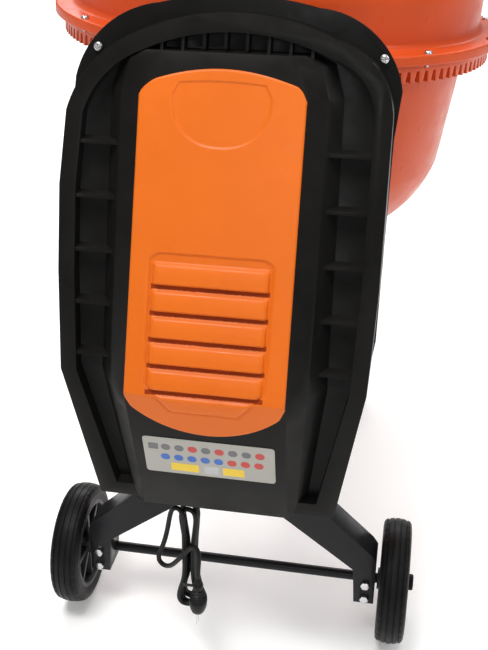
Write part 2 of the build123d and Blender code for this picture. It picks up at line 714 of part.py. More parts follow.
def make_lock_disc():
    """Notched disc: upright, and both ends of the tilt."""
    disc = ring_y(LOCK_DISC_R, FAR_JOURNAL_R, LOCK_DISC_Y, z=TILT_Z)
    for angle in (-TILT_LIMIT, -55.0, 0.0, 55.0, TILT_LIMIT):
        notch = Pos(0, 0, -LOCK_DISC_R) * Box(2 * PIN_R + 2, 20, 30)
        disc -= Pos(0, LOCK_DISC_Y[0] + 3, TILT_Z) * Rot(0, angle, 0) * notch
    return disc


def make_spindle():
    """Drum spindle with its shoulder on the yoke's cross bar."""
    spindle = rod_z(SPINDLE_R, (YOKE_Z[0] - 22, 604.0), 0, DRUM_Y)
    return spindle + rod_z(24.0, (YOKE_Z[1], YOKE_Z[1] + 5), 0, DRUM_Y)


def make_spindle_nut():
    face = Plane.XY * RegularPolygon(23.0, 6, major_radius=False)
    nut = Pos(0, DRUM_Y, YOKE_Z[0] - 16) * extrude(face, 16)
    return nut - rod_z(SPINDLE_R, (480, 540), 0, DRUM_Y)


def make_handwheel_rim():
    """Tubular ring with three spokes."""
    middle = HANDWHEEL_R - HANDWHEEL_TUBE_R
    ring = Rot(90, 0, 0) * Torus(middle, HANDWHEEL_TUBE_R)
    spoke = Pos(0, 0, middle / 2 + 2) * Cylinder(8.0, middle + 4)
    hole = rod_y(28.0, (-30, 30))
    wheel = ring + [Rot(0, 120 * i, 0) * spoke for i in range(3)] - hole
    return Pos(0, HANDWHEEL_Y, TILT_Z) * wheel


def make_handwheel_hub():
    return ring_y(28.0, FAR_JOURNAL_R, (HANDWHEEL_Y - 40, HANDWHEEL_Y - 4), z=TILT_Z) + rod_y(
        28.0, (HANDWHEEL_Y - 4, HANDWHEEL_Y + 9), z=TILT_Z
    )


# ---------------------------------------------------------------- drum
def bowl_curve(offset):
    """Points of the bowl's outer line drawn in by an offset: flat, knuckle and wall."""
    flat = (BOWL_FLAT_R, BOWL_Z + offset)
    knuckle = (235 - offset * 0.7, 642 + offset * 0.7)
    shoulder = (284 - offset, 728 + offset * 0.2)
    top = (BOWL_TOP_R - offset, FLANGE_Z)
    return flat, knuckle, shoulder, top


def make_bowl():
    flat, knuckle, shoulder, top = bowl_curve(0)
    in_flat, in_knuckle, in_shoulder, in_top = bowl_curve(SHEET)
    upper = FLANGE_Z + FLANGE_T
    edge = LIP_R - 3
    with BuildLine() as line:
        Line((34, BOWL_Z), flat)
        ThreePointArc(flat, knuckle, shoulder)
        Polyline(shoulder, top, (edge, FLANGE_Z), (edge, upper), (in_top[0], upper), in_shoulder)
        ThreePointArc(in_shoulder, in_knuckle, in_flat)
        Polyline(in_flat, (34, BOWL_Z + SHEET), (34, BOWL_Z))
    bowl = revolve_drum(line.line)
    return bowl - [hole for hole in around_drum(flange_hole(), FLANGE_BOLTS, 15.0)]


def flange_hole():
    return rod_z(3.0, (FLANGE_Z - 20, FLANGE_Z + 40), 0, DRUM_Y - FLANGE_BOLT_R)


def make_cone():
    """Upper drum: flange with a turned-down edge, straight wall, cone and rolled mouth."""
    low = FLANGE_Z + FLANGE_T + SEAL_T
    up = low + FLANGE_T
    straight = up + UPPER_STRAIGHT
    lip_low = up - SKIRT_DROP
    inner = SHEET
    with BuildLine() as line:
        Polyline(
            (UPPER_R - inner, low), (LIP_R - inner, low), (LIP_R - inner, lip_low), (LIP_R, lip_low),
            (LIP_R, up - EDGE_R),
        )
        RadiusArc((LIP_R, up - EDGE_R), (LIP_R - EDGE_R, up), -EDGE_R)
        Line((LIP_R - EDGE_R, up), (UPPER_R + FOOT_R, up))
        RadiusArc((UPPER_R + FOOT_R, up), (UPPER_R, up + FOOT_R), FOOT_R)
        Polyline(
            (UPPER_R, up + FOOT_R), (UPPER_R, straight), (MOUTH_R, MOUTH_Z), (MOUTH_R - inner, MOUTH_Z),
            (UPPER_R - inner, straight), (UPPER_R - inner, low),
        )
    cone = revolve_drum(line.line)
    cone += Pos(0, DRUM_Y, MOUTH_Z) * Torus(MOUTH_R + BEAD_R - 3, BEAD_R)
    return cone - [hole for hole in around_drum(flange_hole(), FLANGE_BOLTS, 15.0)]


def make_seal():
    z = (FLANGE_Z + FLANGE_T, FLANGE_Z + FLANGE_T + SEAL_T)
    seal = ring_z(LIP_R - 5, UPPER_R - SHEET, z, 0, DRUM_Y)
    return seal - [hole for hole in around_drum(flange_hole(), FLANGE_BOLTS, 15.0)]


def make_flange_bolts():
    """Dome-head bolts and their nuts round the drum's flange."""
    top = FLANGE_Z + 2 * FLANGE_T + SEAL_T
    y = DRUM_Y - FLANGE_BOLT_R
    head = rod_z(6.0, (top, top + 4.5), 0, y)
    head = fillet(head.faces().sort_by(Axis.Z)[-1].edges(), 3.5)
    bolt = head + rod_z(3.0, (FLANGE_Z - 8, top), 0, y)
    nut_face = Plane.XY * RegularPolygon(4.6, 6, major_radius=False)
    nut = Pos(0, y, FLANGE_Z - 5) * extrude(nut_face, 5) - rod_z(3.0, (FLANGE_Z - 9, FLANGE_Z + 1), 0, y)
    return group(around_drum(bolt, FLANGE_BOLTS, 15.0) + around_drum(nut, FLANGE_BOLTS, 15.0))


def make_ring_gear():
    """Cast ring whose teeth point down to the pinion."""
    ring = ring_z(RING_OUT_R, BOWL_TOP_R + 0.1, (RING_BODY_Z, FLANGE_Z), 0, DRUM_Y)
    half_step = 180.0 / RING_TEETH
    reach = RING_OUT_R - 0.5
    profile = [
        (-RING_TIP_HALF, RING_TOOTH_Z), (RING_TIP_HALF, RING_TOOTH_Z),
        (RING_ROOT_HALF, RING_BODY_Z + 0.5), (-RING_ROOT_HALF, RING_BODY_Z + 0.5),
    ]
    narrow = RING_IN_R / reach
    outer = Plane.XZ.offset(reach) * Polygon(*profile, align=None)
    inner = Plane.XZ.offset(RING_IN_R) * Polygon(*[(x * narrow, z) for x, z in profile], align=None)
    tooth = Pos(0, DRUM_Y, 0) * loft([outer, inner], ruled=True)
    return ring + around_drum(tooth, RING_TEETH, half_step)


def make_hub():
    """Drum hub with its blind bore for the spindle."""
    hub = rod_z(33.9, (560.0, 616.0), 0, DRUM_Y) + ring_z(62.0, 30.0, (BOWL_Z - 9, BOWL_Z), 0, DRUM_Y)
    hub -= rod_z(27.0, (559.0, 606.0), 0, DRUM_Y)
    for i in range(6):
        angle = radians(60 * i)
        hub -= rod_z(4.0, (570, 600), 48 * cos(angle), DRUM_Y + 48 * sin(angle))
    return hub


def make_hub_bearings():
    rings = [ring_z(27.0, SPINDLE_R + FIT, z, 0, DRUM_Y) for z in ((561.0, 575.0), (589.0, 603.0))]
    return group(rings)


def make_hub_bolts():
    bolts = []
    for i in range(6):
        angle = radians(60 * i)
        x = 48 * cos(angle)
        y = DRUM_Y + 48 * sin(angle)
        face = Pos(x, y, BOWL_Z - 14) * RegularPolygon(6.5, 6, major_radius=False)
        bolts.append(extrude(face, 5) + rod_z(4.0, (BOWL_Z - 9, BOWL_Z), x, y))
    return group(bolts)


def make_paddle(turn):
    """Bent mixing blade that stands off the bowl's wall on two feet."""
    blade = front_prism([(110, 640), (228, 660), (252, 720), (262, 880), (190, 905), (120, 780)], (-3, 3))
    fold = front_prism([(190, 905), (262, 880), (262, 886), (190, 911)], (-3, 34))
    blade += fold
    for r, z in ((275.0, 745.0), (285.0, 845.0)):
        blade += Pos((250 + r) / 2, 0, z) * Rot(0, 90, 0) * Cylinder(7.0, r - 250)
    blade = Pos(0, DRUM_Y, 0) * Rot(0, 0, turn) * blade
    wall = revolve_drum(bowl_inside())
    return blade & wall


def bowl_inside():
    """Closed line of the space inside the bowl."""
    flat, knuckle, shoulder, top = bowl_curve(SHEET + 0.1)
    with BuildLine() as line:
        Line((0, flat[1]), flat)
        ThreePointArc(flat, knuckle, shoulder)
        Polyline(shoulder, top, (0, top[1]), (0, flat[1]))
    return line.line


# ---------------------------------------------------------------- pinion and lock
def make_pinion():
    y = PINION_Y
    body = rod_y(PINION_ROOT_R, y, z=TILT_Z)
    for i in range(PINION_TEETH):
        points = [(-3.2, PINION_ROOT_R - 2), (-1.6, PINION_TIP_R), (1.6, PINION_TIP_R), (3.2, PINION_ROOT_R - 2)]
        tooth = front_prism(points, y)
        body += Pos(0, 0, TILT_Z) * Rot(0, 360.0 / PINION_TEETH * i, 0) * tooth
    return body - rod_y(SHAFT_R, (y[0] - 1, y[1] + 1), z=TILT_Z)


def make_pinion_shaft():
    return rod_y(SHAFT_R, (PULLEY_Y[0], PINION_Y[1]), z=TILT_Z)


def make_lock_guide():
    """Block on the far upright that guides the lock pin."""
    y = (FAR_UPRIGHT_Y[1], LOCK_DISC_Y[1] + 8)
    block = span_box((-15, 15), y, (TILT_Z - 140, TILT_Z - 105))
    return block - rod_z(PIN_R + FIT, (700, 800), 0, sum(LOCK_DISC_Y) / 2)


def make_lock_pin():
    """Sliding pin with a cross handle."""
    y = sum(LOCK_DISC_Y) / 2
    top = TILT_Z - LOCK_DISC_R - 2
    pin = rod_z(PIN_R, (TILT_Z - 175, top), 0, y)
    handle = rod_x(7.0, (-34, 34), y, TILT_Z - 175)
    return pin + fillet(handle.edges(), 2.5)


# ---------------------------------------------------------------- cord
LEAD_ROUTE = [(GLAND[0], GLAND[1], GLAND_TIP_Z), (GLAND[0], GLAND[1], 268), (-45, -385, 254), (-46, HANK_Y[1], 245)]
LOOP_ROUTE = [
    (HANK_X[0], -414, 262), (-77, -414, 226), (-92, -415, 192), (-94, -416, 177), (-82, -416, 173), (HANK_X[0], -414, 196),
]
TAIL_ROUTE = [(-36, HANK_Y[0], 232), (-31, -442, 221), (-28, -450, 202), (PLUG[0], PLUG[1], PLUG_Z[1] + 10)]


def cord_tube(name, route):
    """Round cord along straight runs joined by tangent arcs."""
    points = [Vector(*p) for p in route]
    radii = []
    for before, corner, after in zip(points, points[1:], points[2:]):
        turn = (corner - before).get_angle(after - corner)
        short = min((corner - before).length, (after - corner).length)
        radii.append(0.45 * short / tan(radians(turn) / 2))
    path = FilletPolyline(*points, radius=radii) if radii else Line(*points)
    edge = Wire(path.edges())
    profile = Plane(origin=edge @ 0, z_dir=edge % 0) * Circle(CORD_D / 2)
    tube = sweep(profile, path=edge)
    ideal = pi * CORD_D ** 2 / 4 * edge.length
    print(name, "radii", [round(r, 1) for r in radii], "length", round(edge.length, 1),
          "volume ratio", round(tube.volume / ideal, 4))
    return tube


def make_hank():
    hank = span_box(HANK_X, HANK_Y, HANK_Z)
    return fillet(hank.edges().filter_by(Axis.Z), 8)


def make_plug_body():
    """Moulded plug hanging from the cord's end."""
    half_x, half_y = PLUG_HALF
    body = span_box((PLUG[0] - half_x, PLUG[0] + half_x), (PLUG[1] - half_y, PLUG[1] + half_y), PLUG_Z)
    body = fillet(body.edges().filter_by(Axis.Z), 9)
    sleeve = Pos(PLUG[0], PLUG[1], PLUG_Z[1] + 5) * Cone(8.0, 5.0, 10.0)
    return body + sleeve


def make_plug_pins():
    pins = [rod_z(2.4, (PLUG_Z[0] - 19, PLUG_Z[0]), PLUG[0], PLUG[1] + dy) for dy in (-9.5, 9.5)]
    return group(pins)


# ---------------------------------------------------------------- assembly
def leaning(shape):
    """A piece of the tilting part, turned to its mixing position."""
    turn = Pos(0, 0, TILT_Z) * Rot(0, REST_TILT, 0) * Pos(0, 0, -TILT_Z)
    pieces = [turn * solid for solid in shape.solids()]
    return pieces[0] if len(pieces) == 1 else group(pieces)


def pair(node, piece):
    """A right-hand piece and its mirror image as two nodes."""
    right, left = mirrored(piece)
    return {node + "_right": right, node + "_left": left}


axle_bolts = [make_axle_bolt(z) for z in (AXLE_Z - AXLE_BOLT_RISE, AXLE_Z + AXLE_BOLT_RISE)]

TILTING = (
    "yoke_frame", "yoke_journals", "shaft_bushes", "drum_spindle", "spindle_nut", "handwheel_rim", "handwheel_hub",
    "drum_bowl", "drum_cone", "drum_seal", "flange_bolts", "ring_gear", "drum_hub", "hub_bearings", "hub_bolts",
    "mixing_paddles", "pinion", "pinion_shaft", "drum_pulley",
)

nodes = {
    "near_upright": make_near_upright(),
    "far_upright": make_far_upright(),
    "base_rail": make_base_rail(),
    "axle_rod": make_axle(),
    "axle_clamps": group(mirrored(make_axle_clamp())),
    "axle_bolts": group([piece for bolt in axle_bolts for piece in mirrored(bolt)]),
    "near_legs": group(mirrored(make_near_leg())),
    "far_legs": group(mirrored(make_far_leg())),
    "rubber_feet": group(mirrored(make_foot())),
    "axle_caps": group(mirrored(make_axle_cap())),
    "bearing_housings": group([make_near_bearing(), make_far_bearing()]),
    "frame_fasteners": group(make_frame_bolts() + make_motor_bolts() + make_back_screws()),
    "casing": make_casing(),
    "back_plate": make_back_plate(),
    "cover": make_cover(),
    "label": make_label(),
    "motor_body": make_motor_body(),
    "fan_cowl": make_fan_cowl(),
    "motor_bracket": make_motor_bracket(),
    "capacitor": make_capacitor(),
    "drive_belt": make_belt(),
    "switch_box": make_switch_box(),
    "cord_gland": make_gland(),
    "lock_guide": make_lock_guide(),
    "on_button": make_button("on_button"),
    "off_button": make_button("off_button"),
    "motor_shaft": make_motor_shaft(),
    "motor_fan": make_motor_fan(),
    "motor_pulley": make_pulley(SMALL_PULLEY_R, SHAFT_R - 2, MOTOR_Z, 0),
    "yoke_frame": make_yoke_frame(),
    "yoke_journals": group([make_near_journal(), make_far_journal()]),
    "shaft_bushes": make_shaft_bushes(),
    "lock_disc": make_lock_disc(),
    "drum_spindle": make_spindle(),
    "spindle_nut": make_spindle_nut(),
    "handwheel_rim": make_handwheel_rim(),
    "handwheel_hub": make_handwheel_hub(),
    "lock_pin": make_lock_pin(),
    "drum_bowl": make_bowl(),
    "drum_cone": make_cone(),
    "drum_seal": make_seal(),
    "flange_bolts": make_flange_bolts(),
    "ring_gear": make_ring_gear(),
    "drum_hub": make_hub(),
    "hub_bearings": make_hub_bearings(),
    "hub_bolts": make_hub_bolts(),
    "mixing_paddles": group([make_paddle(40.0), make_paddle(220.0)]),
    "pinion": make_pinion(),
    "pinion_shaft": make_pinion_shaft(),
    "drum_pulley": make_pulley(BIG_PULLEY_R, SHAFT_R, TILT_Z, 6),
    "cord_lead": cord_tube("cord_lead", LEAD_ROUTE),
    "cord_loop": cord_tube("cord_loop", LOOP_ROUTE),
    "cord_tail": cord_tube("cord_tail", TAIL_ROUTE),
    "cord_hank": make_hank(),
    "plug_body": make_plug_body(),
    "plug_pins": make_plug_pins(),
}
for name in TILTING:
    nodes[name] = leaning(nodes[name])
nodes.update(pair("tyre", make_tyre()))
nodes.update(pair("wheel_rim", make_rim()))

os.makedirs("parts", exist_ok=True)
for name, shape in nodes.items():
    export_step(shape, os.path.join("parts", name + ".step"))
print(len(nodes), "nodes")
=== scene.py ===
import json
from math import atan2, cos, hypot, pi, radians, sin, sqrt

import bmesh
import bpy
from mathutils import Matrix, Vector


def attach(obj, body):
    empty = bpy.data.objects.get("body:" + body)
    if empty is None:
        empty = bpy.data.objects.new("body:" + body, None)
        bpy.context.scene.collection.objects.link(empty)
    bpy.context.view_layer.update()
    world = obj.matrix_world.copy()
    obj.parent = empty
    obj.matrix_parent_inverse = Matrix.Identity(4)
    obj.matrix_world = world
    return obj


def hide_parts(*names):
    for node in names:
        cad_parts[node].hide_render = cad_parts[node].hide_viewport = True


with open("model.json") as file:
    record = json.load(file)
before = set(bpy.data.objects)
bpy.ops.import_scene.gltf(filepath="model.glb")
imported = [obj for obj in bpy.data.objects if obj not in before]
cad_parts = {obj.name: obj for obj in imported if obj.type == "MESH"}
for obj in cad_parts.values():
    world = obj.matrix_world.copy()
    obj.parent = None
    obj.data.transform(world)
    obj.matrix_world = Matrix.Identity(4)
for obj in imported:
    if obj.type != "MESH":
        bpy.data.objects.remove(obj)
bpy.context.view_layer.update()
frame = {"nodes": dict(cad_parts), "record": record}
nodes = frame["nodes"]
record = frame["record"]
body_of = {node: body for body, group in record["behaviour"]["bodies"].items() for node in group}
slot_of = {row["node"]: row["material_slot"] for row in record["subparts"]}
MM = 0.001
joint_at = {joint["name"]: [round(value / MM, 3) for value in joint["pos_m"]]
            for joint in record["behaviour"]["joints"] if "pos_m" in joint}

# ---------------------------------------------------------------- camera
CAMERA_AT = Vector((0.2423, -1.6042, 1.1948))
YAW, PITCH, ROLL = radians(9.96), radians(-26.39), radians(0.55)
SENSOR, LENS = 36.0, 55.384615
forward = Vector((-sin(YAW) * cos(PITCH), cos(YAW) * cos(PITCH), sin(PITCH)))
level = forward.cross(Vector((0, 0, 1))).normalized()
above = level.cross(forward)
right = level * cos(ROLL) + above * sin(ROLL)
up = above * cos(ROLL) - level * sin(ROLL)
camera_data = bpy.data.cameras.new("view")
camera_data.sensor_width = SENSOR
camera_data.lens = LENS
camera = bpy.data.objects.new("view", camera_data)
bpy.context.collection.objects.link(camera)
turn = Matrix((right, up, -forward)).transposed().to_4x4()
camera.matrix_world = Matrix.Translation(CAMERA_AT) @ turn
bpy.context.scene.camera = camera
bpy.context.scene.view_settings.view_transform = "Standard"

# ---------------------------------------------------------------- materials
DUST_COLOUR = (0.30, 0.28, 0.25)
GRAIN_DEPTH = 0.0006


def node_links(material):
    """A material's nodes and links, with its nodes switched on."""
    material.use_nodes = True
    return material.node_tree.nodes, material.node_tree.links


def noise_map(tree_nodes, links, vector, scale, detail, low, high):
    """Noise over the object, remapped between two values."""
    noise = tree_nodes.new("ShaderNodeTexNoise")
    noise.inputs["Scale"].default_value = scale
    noise.inputs["Detail"].default_value = detail
    links.new(vector, noise.inputs["Vector"])
    remap = tree_nodes.new("ShaderNodeMapRange")
    remap.inputs["From Min"].default_value = 0.3
    remap.inputs["From Max"].default_value = 0.7
    remap.inputs["To Min"].default_value = low
    remap.inputs["To Max"].default_value = high
    links.new(noise.outputs["Fac"], remap.inputs["Value"])
    return remap.outputs["Result"]


def mix_colour(tree_nodes, links, factor, first, second):
    """A blend of two colours, each a plain colour or another node's output."""
    mix = tree_nodes.new("ShaderNodeMix")
    mix.data_type = "RGBA"
    links.new(factor, mix.inputs[0])
    for socket, value in ((mix.inputs[6], first), (mix.inputs[7], second)):
        if isinstance(value, tuple):
            socket.default_value = (*value, 1.0)
        else:
            links.new(value, socket)
    return mix.outputs[2]


def dusted(tree, links, place, base, dust):
    """The base colour with patchy dust on the faces that look up."""
    facing = tree.new("ShaderNodeNewGeometry")
    parts = tree.new("ShaderNodeSeparateXYZ")
    links.new(facing.outputs["Normal"], parts.inputs["Vector"])
    upward = tree.new("ShaderNodeMapRange")
    upward.inputs["From Min"].default_value = -0.2
    upward.inputs["From Max"].default_value = 1.0
    upward.inputs["To Max"].default_value = dust
    links.new(parts.outputs["Z"], upward.inputs["Value"])
    patch = noise_map(tree, links, place.outputs["Object"], 30.0, 8.0, 0.2, 1.0)
    amount = tree.new("ShaderNodeMath")
    amount.operation = "MULTIPLY"
    links.new(upward.outputs["Result"], amount.inputs[0])
    links.new(patch, amount.inputs[1])
    return mix_colour(tree, links, amount.outputs["Value"], base, DUST_COLOUR)


def grained(tree, links, vector, strength, scale):
    """A shading normal with fine grain."""
    fine = tree.new("ShaderNodeTexNoise")
    fine.inputs["Scale"].default_value = scale
    fine.inputs["Detail"].default_value = 2.0
    links.new(vector, fine.inputs["Vector"])
    bump = tree.new("ShaderNodeBump")
    bump.inputs["Strength"].default_value = strength
    bump.inputs["Distance"].default_value = GRAIN_DEPTH
    links.new(fine.outputs["Fac"], bump.inputs["Height"])
    return bump.outputs["Normal"]


def surface(name, colour, rough, metal=0.0, coat=0.0, vary=0.12, rough_vary=0.08, scale=14.0,
            grain=0.0, grain_scale=900.0, stretch=(1, 1, 1), dust=0.0, specular=0.5):
    """A finish with uneven tone, uneven gloss, fine grain and settled dust."""
    material = bpy.data.materials.new(name)
    tree, links = node_links(material)
    shader = tree["Principled BSDF"]
    shader.inputs["Metallic"].default_value = metal
    shader.inputs["Coat Weight"].default_value = coat
    shader.inputs["Coat Roughness"].default_value = 0.12
    shader.inputs["Specular IOR Level"].default_value = specular
    place = tree.new("ShaderNodeTexCoord")
    mapping = tree.new("ShaderNodeMapping")
    mapping.inputs["Scale"].default_value = stretch
    links.new(place.outputs["Object"], mapping.inputs["Vector"])
    vector = mapping.outputs["Vector"]
    tone = noise_map(tree, links, vector, scale, 6.0, 0.0, 1.0)
    dark = tuple(c * (1 - vary) for c in colour)
    light = tuple(min(1.0, c * (1 + vary)) for c in colour)
    base = mix_colour(tree, links, tone, dark, light)
    smoothest = max(0.03, rough - rough_vary)
    roughest = min(1.0, rough + rough_vary)
    gloss = noise_map(tree, links, vector, scale * 2.7, 5.0, smoothest, roughest)
    if dust:
        base = dusted(tree, links, place, base, dust)
    links.new(base, shader.inputs["Base Color"])
    links.new(gloss, shader.inputs["Roughness"])
    if grain:
        links.new(grained(tree, links, vector, grain, grain_scale), shader.inputs["Normal"])
    return material


finish = {
    "black_plastic": surface("satin_black_plastic", (0.0080, 0.0076, 0.0074), 0.36, grain=0.08, dust=0.006,
                             vary=0.2, specular=0.09),
    "orange_plastic": surface("orange_plastic", (0.70, 0.140, 0.009), 0.38, grain=0.05, vary=0.03,
                              specular=0.22),
    "drum_orange": surface("drum_paint", (0.60, 0.072, 0.012), 0.34, coat=0.04, grain=0.07, grain_scale=260,
                           vary=0.05, specular=0.25),
    "frame_grey": surface("frame_paint", (0.013, 0.014, 0.016), 0.36, grain=0.12, grain_scale=420, dust=0.01,
                          specular=0.2),
    "steel": surface("turned_steel", (0.50, 0.50, 0.51), 0.28, metal=1.0, grain=0.1, stretch=(1, 6, 1)),
    "zinc": surface("zinc_plate", (0.62, 0.62, 0.63), 0.30, metal=1.0, grain=0.12, grain_scale=600, vary=0.1),
    "cast_iron": surface("painted_casting", (0.075, 0.075, 0.08), 0.5, grain=0.5, grain_scale=340, dust=0.08),
    "tyre": surface("tyre_rubber", (0.0055, 0.0057, 0.0062), 0.44, grain=0.10, grain_scale=700, dust=0.005,
                    vary=0.2, specular=0.14),
    "rim_plastic": surface("rim_plastic", (0.036, 0.037, 0.040), 0.42, grain=0.12, dust=0.03, vary=0.12,
                           specular=0.35),
    "rubber": surface("soft_rubber", (0.011, 0.011, 0.0115), 0.62, grain=0.2, vary=0.2),
    "bronze": surface("sintered_bronze", (0.60, 0.40, 0.20), 0.42, metal=1.0, grain=0.2),
    "label": surface("label_film", (0.38, 0.37, 0.335), 0.38, vary=0.03, rough_vary=0.05),
    "motor_grey": surface("cast_aluminium", (0.40, 0.41, 0.42), 0.45, metal=0.8, grain=0.4, grain_scale=380),
    "cord_pvc": surface("cord_sheath", (0.006, 0.006, 0.0062), 0.42, grain=0.10, vary=0.2, specular=0.22),
    "button_green": surface("green_button", (0.02, 0.26, 0.06), 0.35, coat=0.2, vary=0.05),
    "button_red": surface("red_button", (0.50, 0.02, 0.015), 0.35, coat=0.2, vary=0.05),
}
# Painted shade: a dark red colour for the band under each slat stands in for the shadow there; the gaps are
# not cut through.
painted_gap_shade = surface("slot_shadow", (0.30, 0.036, 0.005), 0.6, vary=0.15, specular=0.1)
print_yellow = surface("print_yellow", (0.80, 0.55, 0.02), 0.38, vary=0.03)
print_grey = surface("print_grey", (0.13, 0.13, 0.14), 0.4, vary=0.05)
print_red = surface("print_red", (0.50, 0.04, 0.03), 0.38, vary=0.05)
print_blue = surface("print_blue", (0.03, 0.12, 0.45), 0.38, vary=0.05)

for name, item in nodes.items():
    for holder in item.material_slots:
        holder.material = finish[slot_of[name]]


# ---------------------------------------------------------------- mesh helpers
def shade(mesh, angle=32.0):
    """Smooth faces with crisp edges where the surface turns sharply."""
    bm = bmesh.new()
    bm.from_mesh(mesh)
    limit = radians(angle)
    for face in bm.faces:
        face.smooth = True
    for edge in bm.edges:
        edge.smooth = len(edge.link_faces) == 2 and edge.calc_face_angle(0) < limit
    bm.to_mesh(mesh)
    bm.free()


def piece(name, vertices, faces, materials, indices=None, angle=32.0):
    """A mesh object from points in millimetres."""
    mesh = bpy.data.meshes.new(name)
    mesh.from_pydata([Vector(v) * MM for v in vertices], [], faces)
    for material in materials:
        mesh.materials.append(material)
    if indices:
        mesh.polygons.foreach_set("material_index", indices)
    bm = bmesh.new()
    bm.from_mesh(mesh)
    bmesh.ops.recalc_face_normals(bm, faces=bm.faces)
    bm.to_mesh(mesh)
    bm.free()
    shade(mesh, angle)
    made = bpy.data.objects.new(name, mesh)
    bpy.context.collection.objects.link(made)
    return made


def stands_for(made, node, *more):
    """A piece takes over a CAD node: its body and its place."""
    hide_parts(node, *more)
    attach(made, body_of[node])
    return made


def soften(node, width):
    """A copy of a CAD node with rounded edges that catch the light."""
    mesh = nodes[node].data.copy()
    bm = bmesh.new()
    bm.from_mesh(mesh)
    bmesh.ops.remove_doubles(bm, verts=bm.verts, dist=2e-6)
    bmesh.ops.dissolve_limit(bm, angle_limit=radians(0.6), verts=bm.verts, edges=bm.edges)
    bm.to_mesh(mesh)
    bm.free()
    made = bpy.data.objects.new(node + "_finish", mesh)
    bpy.context.collection.objects.link(made)
    rounding = made.modifiers.new("rounding", "BEVEL")
    rounding.width = width * MM
    rounding.segments = 2
    rounding.limit_method = "ANGLE"
    rounding.angle_limit = radians(28.0)
    rounding.use_clamp_overlap = True
    bpy.context.view_layer.update()
    result = bpy.data.meshes.new_from_object(made.evaluated_get(bpy.context.evaluated_depsgraph_get()))
    made.modifiers.clear()
    made.data = result
    shade(result, 30.0)
    for holder in made.material_slots:
        holder.material = finish[slot_of[node]]
    return stands_for(made, node)


def revolve(name, profile, count, place, material, reach=None, angle=32.0):
    """Turn a closed (radius, height) outline about an axis; place puts each point."""
    vertices = []
    for i in range(count):
        turn_angle = 2 * pi * i / count
        for j, (radius, height) in enumerate(profile):
            actual = reach(i, j, radius, height) if reach else radius
            vertices.append(place(actual * cos(turn_angle), actual * sin(turn_angle), height))
    size = len(profile)
    faces = []
    for i in range(count):
        after = (i + 1) % count
        for j in range(size):
            nxt = (j + 1) % size
            faces.append((i * size + j, i * size + nxt, after * size + nxt, after * size + j))
    return piece(name, vertices, faces, [material], angle=angle)


def band(first, second, count):
    """Faces between two rings of points, from their starting numbers."""
    return [(first + k, first + (k + 1) % count, second + (k + 1) % count, second + k) for k in range(count)]


def arc(centre, radius, start, end, steps):
    """Points of an arc in degrees."""
    points = []
    for k in range(steps + 1):
        a = radians(start + (end - start) * k / steps)
        points.append((centre[0] + radius * cos(a), centre[1] + radius * sin(a)))
    return points


def through(a, b, c, steps):
    """Points of the arc from a through b to c."""
    d = 2 * (a[0] * (b[1] - c[1]) + b[0] * (c[1] - a[1]) + c[0] * (a[1] - b[1]))
    sa, sb, sc = (p[0] ** 2 + p[1] ** 2 for p in (a, b, c))
    cx = (sa * (b[1] - c[1]) + sb * (c[1] - a[1]) + sc * (a[1] - b[1])) / d
    cy = (sa * (c[0] - b[0]) + sb * (a[0] - c[0]) + sc * (b[0] - a[0])) / d
    radius = hypot(a[0] - cx, a[1] - cy)
    first = atan2(a[1] - cy, a[0] - cx)
    last = atan2(c[1] - cy, c[0] - cx)
    middle = atan2(b[1] - cy, b[0] - cx)
    while last < first:
        last += 2 * pi
    while middle < first:
        middle += 2 * pi
    if middle > last:
        last -= 2 * pi
    return [(cx + radius * cos(first + (last - first) * k / steps),
             cy + radius * sin(first + (last - first) * k / steps)) for k in range(steps + 1)]


# ---------------------------------------------------------------- cord
CORD_D = 0.0075
# The hank in millimetres: its outer strands, its waist, and the depth of one strand.
RUN_RIGHT, RUN_LEFT = -35.5, -58.5
GATHER_RIGHT, GATHER_LEFT, GATHER_LOW, GATHER_HIGH = -41.5, -51.5, 156, 212
RUN_STEP = 7.6


def fold(x0, x1, y0, y1, tip, way):
    """Control points round one end of the hank; way is -1 at the bottom and 1 at the top."""
    near, far = x0 + (x1 - x0) * 0.24, x0 + (x1 - x0) * 0.76
    step = (y1 - y0) / 3
    return [(x0, y0, tip - way * 24), (x0, y0, tip - way * 9), (near, y0 + step, tip),
            (far, y1 - step, tip), (x1, y1, tip - way * 9), (x1, y1, tip - way * 24)]


# The lead from the gland down to the waist.
ROUTE = [
    (-45, -378, 286), (-45, -378, 272), (-43, -384, 256), (-39, -394, 246), (-40, -400.5, 226),
    (-41.5, -401, 196), (-41.5, -401, 156),
]
# Each turn of the hank: its foot, its head, where it flares to on the left, and its depth.
TURNS = ((106, 286, -59.5, -401.0), (109, 290, -59, -408.6), (104, 284, -60, -416.2))
for foot, head, flare, turn_y in TURNS:
    left_y = turn_y - RUN_STEP / 2
    ROUTE += fold(RUN_RIGHT, flare, turn_y, left_y, foot, -1)
    ROUTE += [(GATHER_LEFT, left_y, GATHER_LOW), (GATHER_LEFT, left_y, GATHER_HIGH)]
    ROUTE += fold(RUN_LEFT, RUN_RIGHT, left_y, turn_y - RUN_STEP, head, 1)
    ROUTE += [(GATHER_RIGHT, turn_y - RUN_STEP, GATHER_HIGH), (GATHER_RIGHT, turn_y - RUN_STEP, GATHER_LOW)]
